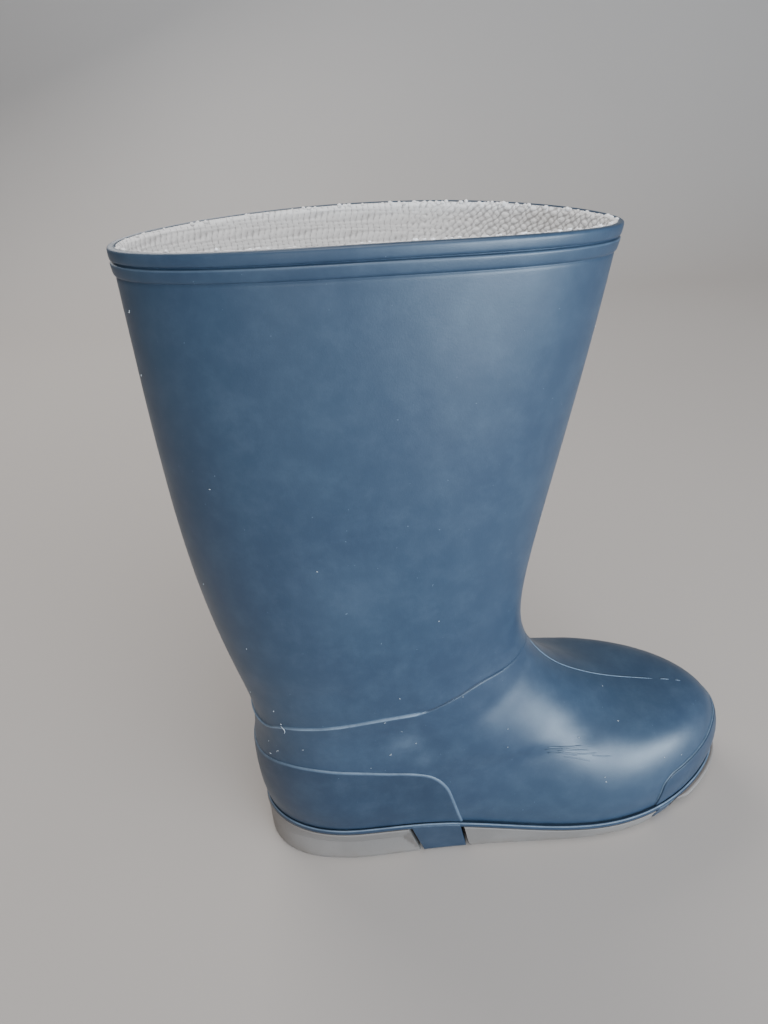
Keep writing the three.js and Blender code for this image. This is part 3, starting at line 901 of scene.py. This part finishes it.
def nub_height(place, depth, length):
    """How high the knit stands, from 0 to 1, place being the share of the way round the rim."""
    tilt = math.radians(NUB_TILT)
    a = place * round(length * math.cos(tilt) / NUB_PITCH) + depth * math.sin(tilt) / NUB_PITCH
    b = -place * round(length * math.sin(tilt) / NUB_PITCH) + depth * math.cos(tilt) / NUB_PITCH
    drift = 0.13 * np.sin(a * 1.9 + 3 * np.sin(b * 0.7)) + 0.13 * np.sin(b * 2.3 + 2 * np.sin(a * 0.9))
    nub = np.abs(np.cos(np.pi * (a + drift)) * np.cos(np.pi * (b - drift))) ** 0.75
    nub = nub * (0.75 + 0.25 * np.sin(2.7 * np.floor(a + drift + 0.5) + 4.1 * np.floor(b - drift + 0.5)))
    wander = 0.15 * np.sin(depth * 0.9 + 40 * place)
    column = np.abs(np.cos(np.pi * (place * round(length / STITCH_COLUMN) + wander))) ** 0.8
    stitch = np.abs(np.cos(np.pi * (depth / STITCH_ROW + 3 * wander)))
    fine = 0.1 + 0.9 * column * (0.3 + 0.7 * stitch)
    in_front = 1 - 2 * np.abs(place - 0.5)
    return lerp(fine, nub, smoothstep(in_front, 0.45, 0.8))


def lining(material):
    """The knitted lining: a cuff with real nubs near the rim, and plain cloth further down."""
    lining_cuff(material)
    lining_leg(material)


def lining_cuff(material):
    """The lining's first few centimetres, with the knit in the mesh."""
    place = turns(CUFF_COLUMNS)
    turn, length = rim_places(CUFF_COLUMNS)
    rows = []
    nubs = []
    for depth in np.linspace(0.1, CUFF_DEPTH, CUFF_ROWS):
        plain = smoothstep(depth, CUFF_DEPTH - CUFF_FADE, CUFF_DEPTH - 2)
        nub = lerp(nub_height(place, depth, length), PLAIN_NUB, plain)
        nubs.append(nub)
        thickness = LINING_THICKNESS * (1 - CUFF_EDGE_SHARE * (1 - smoothstep(depth, 0, CUFF_EDGE)))
        rows.append(form(turn, collar_level(depth), -WALL - thickness - NUB_HEIGHT * nub + CUFF_PROUD))
    for depth in (CUFF_DEPTH, 0.4):
        rows.append(form(turn, collar_level(depth), -WALL - LINING_CLEARANCE))
        nubs.append(np.full_like(turn, BEHIND_NUB))
    obj = ring_object("lining_cuff", rows, material)
    store(obj, "nub", np.concatenate(nubs))
    on_boot(obj, "white_knit")


def lining_leg(material):
    """The lining below the cuff."""
    turn = turns(LEG_COLUMNS)
    levels = np.linspace(collar_level(CUFF_DEPTH - 4), 0.9, LEG_ROWS)
    rows = [form(turn, level, -WALL - LINING_THICKNESS) for level in levels]
    rows += [form(turn, level, -WALL - LINING_CLEARANCE) for level in levels[::-6]]
    obj = ring_object("lining_leg", rows, material)
    store(obj, "nub", PLAIN_NUB)
    on_boot(obj, "white_knit")


def rim_tufts(material):
    """Loose nubs of yarn that stand along the rim, most of them in front."""
    draw = random.Random(TUFT_SEED)
    turn = rim_places(TUFT_PLACES)[0]
    points = []
    faces = []
    for k, place in enumerate(turn):
        in_front = 1 - 2 * abs(place - 0.5)
        if draw.random() > 0.25 + 0.6 * in_front ** 2:
            continue
        level = collar_level(draw.uniform(0.1, 0.9))
        offset = -WALL + draw.uniform(-0.8, 0.5)
        centre = form(place + draw.uniform(-0.001, 0.001), level, offset)
        size = draw.uniform(0.45, 0.8) + 0.3 * in_front
        blob = bmesh.new()
        bmesh.ops.create_icosphere(blob, subdivisions=2, radius=size)
        first = len(points)
        stretch = (draw.uniform(0.85, 1.4), draw.uniform(0.7, 1.1), draw.uniform(0.7, 1.1))
        for vertex in blob.verts:
            bumpy = 1 + 0.2 * math.sin(5 * vertex.co.x + k) * math.sin(6 * vertex.co.y + 2 * k)
            points.append(centre + np.array([c * s * bumpy for c, s in zip(vertex.co, stretch)]))
        faces += [[first + v.index for v in face.verts] for face in blob.faces]
        blob.free()
    obj = mesh_object("rim_tufts", np.array(points), faces, material)
    store(obj, "nub", 0.9)
    return on_boot(obj, "white_knit")


def insole(material):
    """A foam board with a soft rim and a shallow dish under the heel."""
    turn = turns(INSOLE_COLUMNS)
    clearance = WALL + LINING_THICKNESS + GAP
    rows = [edge_row(turn, -clearance, feather_height)]
    for inset, rise in INSOLE_RIM:
        rows.append(edge_row(turn, -clearance - inset, lambda x, rise=rise: feather_height(x) + rise))
    return on_boot(capsule_object("insole_board", rows, material), "white_knit", "insole")


# ------------------------------------------------------------------ sole

def welt(material):
    """The midsole's plate with its proud, round-edged welt, whose top outer edge gets a painted highlight.
    """
    turn = turns()
    rows = [edge_row(turn, out, lambda x, rise=rise: welt_bottom(x) + rise) for out, rise in WELT_RIM]
    obj = capsule_object("welt", rows, material)
    # A painted highlight along the welt's top outer edge.
    highlight_and_dust_rows = [WELT_HIGHLIGHT if 2.6 < rise < 2.95 and out > 1 else 0 for out, rise in WELT_RIM]
    store(obj, "highlight_and_dust", np.repeat(highlight_and_dust_rows, len(turn)))
    return on_boot(obj, "blue_pvc", "midsole")


def side_slab(name, block, grow, span, out, depth, edge, material, inner_side):
    """A block of the sole's side wall with slanted ends, from one share of the wall's height to another."""
    near = np.array([0, 0.15, 0.4, 0.75, 1.2]) * edge
    width = block["front"][0] - block["back"][0]
    height = span[1] * sole_top(block["back"][1])
    across = np.concatenate([near / width, np.linspace(0.1, 0.9, 20), 1 - near[::-1] / width])
    up = np.concatenate([near / height, np.linspace(0.1, 0.9, 12), [1]])
    share = lerp(span[0], span[1], up)[:, None]
    back = lerp(*block["back"], share) - grow
    front = lerp(*block["front"], share) + grow
    x = lerp(back, front, across[None, :])
    turn = np.where(inner_side, 1 - turn_at(x), turn_at(x))
    margin = np.minimum(np.minimum(across, 1 - across)[None, :] * width, up[:, None] * height)
    rounded = edge * (np.sqrt(1 - (1 - np.clip(margin / edge, 0, 1)) ** 2) - 1)
    share = share + 0 * x
    outer = sole_side(turn, share, out + rounded)
    inner = sole_side(turn, share, 0 * x - depth)
    return slab_object(name, outer, inner, material)


def blocks(material):
    """The blocks of the midsole that stand down through the outsole's windows, with their faces bare."""
    for label, block in (("waist", WAIST_BLOCK), ("toe", TOE_BLOCK)):
        for side, inner_side in (("outer", False), ("inner", True)):
            name = f"{label}_block_{side}"
            span = (BLOCK_FLOOR_GAP / sole_top(block["back"][0]) * BLOCK_LIFT, BLOCK_TOP)
            inset = -BLOCK_INSET
            obj = side_slab(name, block, 0, span, inset, BLOCK_DEPTH, BLOCK_EDGE, material, inner_side)
            on_boot(obj, "blue_pvc")


def tread_grooves(material):
    """Bar-shaped grooves of the tread, bent forwards in the middle."""
    bars = [(x, kind["width"], kind["bend"]) for kind in (HEEL_BARS, FOREFOOT_BARS) for x in kind["start"]]
    points = []
    faces = []
    for x, width, bend in bars:
        near_side = [(x, -TREAD_REACH), (x + bend, 0), (x, TREAD_REACH)]
        outline = near_side + [(px + width, py) for px, py in near_side[::-1]]
        first = len(points)
        points += [(px, py, z) for z in (CUTTER_BOTTOM, LUG_DEPTH) for px, py in outline]
        faces += (np.array(grid_faces(2, 6, False, True)) + first).tolist()
        for base in (first, first + 6):
            faces += [[base, base + 1, base + 4, base + 5], [base + 1, base + 2, base + 3, base + 4]]
    grooves = mesh_object("tread_grooves", np.array(points, float), faces, material)
    turn = turns(TREAD_COLUMNS)
    rows = [edge_row(turn, -LUG_RIM, lambda x, z=z: 0 * x + z) for z in (FIELD_BOTTOM, TREAD_REACH)]
    cut(grooves, capsule_object("tread_field", rows, material), "INTERSECT")
    return grooves


def arch_prism(material):
    """What is cut away under the arch, through the sole's whole width."""
    outline = [
        (HEEL_FRONT, -1), (FOREFOOT_BACK, -1), (FOREFOOT_BACK - 3, ARCH_HEIGHT - 2),
        (FOREFOOT_BACK - 8, ARCH_HEIGHT), (HEEL_FRONT + 8, ARCH_HEIGHT), (HEEL_FRONT + 3, ARCH_HEIGHT - 2),
    ]
    count = len(outline)
    points = [(x, y, z) for y in (-ARCH_REACH, ARCH_REACH) for x, z in outline]
    faces = [[k, (k + 1) % count, count + (k + 1) % count, count + k] for k in range(count)]
    faces += [list(range(count)), list(range(2 * count - 1, count - 1, -1))]
    return mesh_object("arch", np.array(points, float), faces, material)


def side_relief(x, share):
    """A lip under the welt, broader at the toe, and a V-shaped hollow that a facet ends at the waist."""
    lip = SIDE_LIP * smoothstep(share, 0.93, 0.96)
    toe = smoothstep(x, TOE_LIP_START, TOE_LIP_START + 8) * smoothstep(share, 0.4, 0.85)
    lip = lip + TOE_LIP * toe * (1 - 0.6 * smoothstep(share, 0.9, 1))
    hollow = 1 - np.abs(share - CREASE_SHARE) / CREASE_REACH
    facet = (lerp(*WAIST_BLOCK["back"], share) - SLIT - x) / CREASE_FACET
    return lip - CREASE_DEPTH * smoothstep(x, 0, CREASE_START) * np.clip(np.minimum(hollow, facet), 0, 1)


def outsole(material):
    """The grey outsole: flared heel, crease along its side, windows for the blocks, and tread."""
    turn = turns()
    hollow = np.linspace(-1, 1, 15)
    shares = [0, 0.02, 0.06, *(CREASE_SHARE + CREASE_REACH * hollow), 0.945, 0.96, 0.98, 1]
    x = last(turn, 0)[:, 0]
    rows = []
    for share in shares:
        bevel = -0.6 * (1 - smoothstep(share, 0, 0.06)) - 0.3 * smoothstep(share, 0.98, 1)
        rows.append(sole_side(turn, share, side_relief(x, share) + bevel))
    body = capsule_object("outsole_body", rows, material)
    depth = BLOCK_DEPTH + WINDOW_EXTRA_DEPTH
    for block in (WAIST_BLOCK, TOE_BLOCK):
        for inner_side in (False, True):
            place = (block, SLIT, WINDOW_SPAN, WINDOW_PROUD, depth, WINDOW_EDGE)
            cut(body, side_slab("window", *place, material, inner_side))
    cut(body, arch_prism(material))
    cut(body, tread_grooves(material))
    body.data.set_sharp_from_angle(angle=math.radians(SHARP_ANGLE))
    return on_boot(body, "grey_pvc", "outsole")


# ------------------------------------------------------------------ lint

def lint(material):
    """Short fibres and crumbs of fluff that lie on the boot."""
    draw = random.Random(LINT_SEED)
    spots = [(0.104, 8.25, 5), (0.075, 5.7, 2.2), (0.06, 5.0, 1.4), (0.048, 16.4, 2), (0.2, 6.7, 1.2)]
    for _ in range(LINT_COUNT):
        spots.append((draw.uniform(0.02, 0.48), draw.uniform(1, 16), draw.uniform(0.4, 0.9)))
    points = []
    faces = []
    for turn, level, length in spots:
        normal = last_normal(turn, level)
        near_seam = abs(level - seam_level(turn)) < 0.6
        centre = last(turn, level) + normal * 0.75 * near_seam + normal * 0.12
        heading = unit(np.cross(normal, [draw.uniform(-1, 1) for _ in range(3)]))
        across = np.cross(normal, heading)
        first = len(points)
        for along_share in np.linspace(-0.5, 0.5, 5):
            bend = across * 0.15 * length * math.sin(5 * along_share + length)
            middle = centre + heading * length * along_share + bend
            thick = 0.16 * (1 - abs(along_share)) + 0.03
            for angle in np.linspace(0, 2 * math.pi, 5)[:-1]:
                points.append(middle + (across * math.cos(angle) + normal * math.sin(angle)) * thick)
        faces += (np.array(grid_faces(5, 4, False, True)) + first).tolist()
        ends = [[0, 1, 2, 3], [19, 18, 17, 16]]
        faces += [[first + k for k in end] for end in ends]
    obj = mesh_object("lint", np.array(points), faces, material)
    return on_boot(obj, "white_knit")


# ------------------------------------------------------------------ studio

def studio():
    """A pale floor that curves up into a backdrop, a wide low window's light, and softer ones round it."""
    section = [(-3.0, 0.0), (0.9, 0.0)]
    section += [(0.9 + 0.8 * math.sin(a), 0.8 - 0.8 * math.cos(a)) for a in np.linspace(0.1, 1.57, 12)]
    section.append((1.7, 3.2))
    points = [(x, y, z) for y, z in section for x in (-4.0, 4.0)]
    faces = [(2 * k, 2 * k + 1, 2 * k + 3, 2 * k + 2) for k in range(len(section) - 1)]
    mesh = bpy.data.meshes.new("studio")
    mesh.from_pydata(points, [], faces)
    mesh.shade_smooth()
    mesh.materials.append(plain_material("studio_floor", srgb(169, 163, 158), 0.8))
    floor = bpy.data.objects.new("studio", mesh)
    bpy.context.scene.collection.objects.link(floor)
    area_light("window", (1.12, -1.42, 0.2), (0.0, 0.0, 0.1), (1.7, 0.4), 68, (0.68, 0.84, 1.0))
    area_light("back", (-0.5, 1.0, 1.0), (0.0, 0.0, 0.15), (1.0, 0.8), 11, (1.0, 0.99, 0.97))
    area_light("doorway", (-0.5, -1.5, 0.3), (0.0, 0.0, 0.15), (0.5, 0.5), 3, (0.95, 0.98, 1.0))
    area_light("top", (0.1, -0.7, 1.7), (0.0, 0.0, 0.1), (1.4, 1.4), 25, (1.0, 0.98, 0.96))
    world = bpy.data.worlds.new("studio_world")
    world.use_nodes = True
    world.node_tree.nodes["Background"].inputs["Color"].default_value = (0.9, 0.93, 1.0, 1)
    world.node_tree.nodes["Background"].inputs["Strength"].default_value = 0.35
    bpy.context.scene.world = world


def area_light(name, place, target, size, power, colour):
    """A rectangular light in metres and watts that faces its target."""
    data = bpy.data.lights.new(name, "AREA")
    data.shape = "RECTANGLE"
    data.size, data.size_y = size
    data.energy = power
    data.color = colour
    light = bpy.data.objects.new(name, data)
    light.location = place
    light.rotation_euler = (Vector(target) - Vector(place)).to_track_quat("-Z", "Y").to_euler()
    bpy.context.scene.collection.objects.link(light)


def camera():
    """A hand-held phone's view of the outer side from above, at its usual wide lens."""
    yaw, pitch, roll = 0.0749, 0.5763, -0.0682
    ahead = Vector((math.sin(yaw) * math.cos(pitch), math.cos(yaw) * math.cos(pitch), -math.sin(pitch)))
    right = Vector((math.cos(yaw), -math.sin(yaw), 0))
    up = right.cross(ahead)
    right, up = right * math.cos(roll) + up * math.sin(roll), up * math.cos(roll) - right * math.sin(roll)
    data = bpy.data.cameras.new("camera")
    data.lens = 26.91
    data.sensor_width = 36
    data.clip_start = 0.01
    obj = bpy.data.objects.new("camera", data)
    place = Vector((57.03 + HEEL_X, -289.99 + AXIS_Y, 394.93)) * MM
    obj.matrix_world = Matrix.Translation(place) @ Matrix((right, up, -ahead)).transposed().to_4x4()
    bpy.context.scene.collection.objects.link(obj)
    bpy.context.scene.camera = obj


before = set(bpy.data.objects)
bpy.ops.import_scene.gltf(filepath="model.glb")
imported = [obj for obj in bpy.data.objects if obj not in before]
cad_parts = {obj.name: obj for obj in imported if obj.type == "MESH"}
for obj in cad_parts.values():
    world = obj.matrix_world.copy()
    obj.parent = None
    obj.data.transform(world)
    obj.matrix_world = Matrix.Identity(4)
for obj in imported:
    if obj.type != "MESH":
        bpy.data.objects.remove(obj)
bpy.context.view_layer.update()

body_pvc = pvc_material("blue_pvc", srgb(41, 60, 79), srgb(37, 55, 75), srgb(125, 143, 161), 0.39)
trim_pvc = pvc_material("deep_blue_pvc", srgb(31, 51, 71), srgb(28, 46, 65), srgb(125, 143, 161), 0.42)
grey_pvc = sole_material()
knit = knit_material()

upper(body_pvc)
panel("counter_panel", COUNTER_EDGE, COUNTER_ROUND, COUNTER_RISE, COUNTER_HIGHLIGHT, trim_pvc, "heel_counter")
panel("bumper_panel", BUMPER_EDGE, BUMPER_ROUND, BUMPER_RISE, 0, trim_pvc, "toe_bumper")
bumper_lip(body_pvc)
parting_line(body_pvc)
wrinkles(body_pvc)
lining(knit)
rim_tufts(knit)
insole(insole_material())
welt(trim_pvc)
blocks(trim_pvc)
outsole(grey_pvc)
lint(lint_material())
studio()
camera()
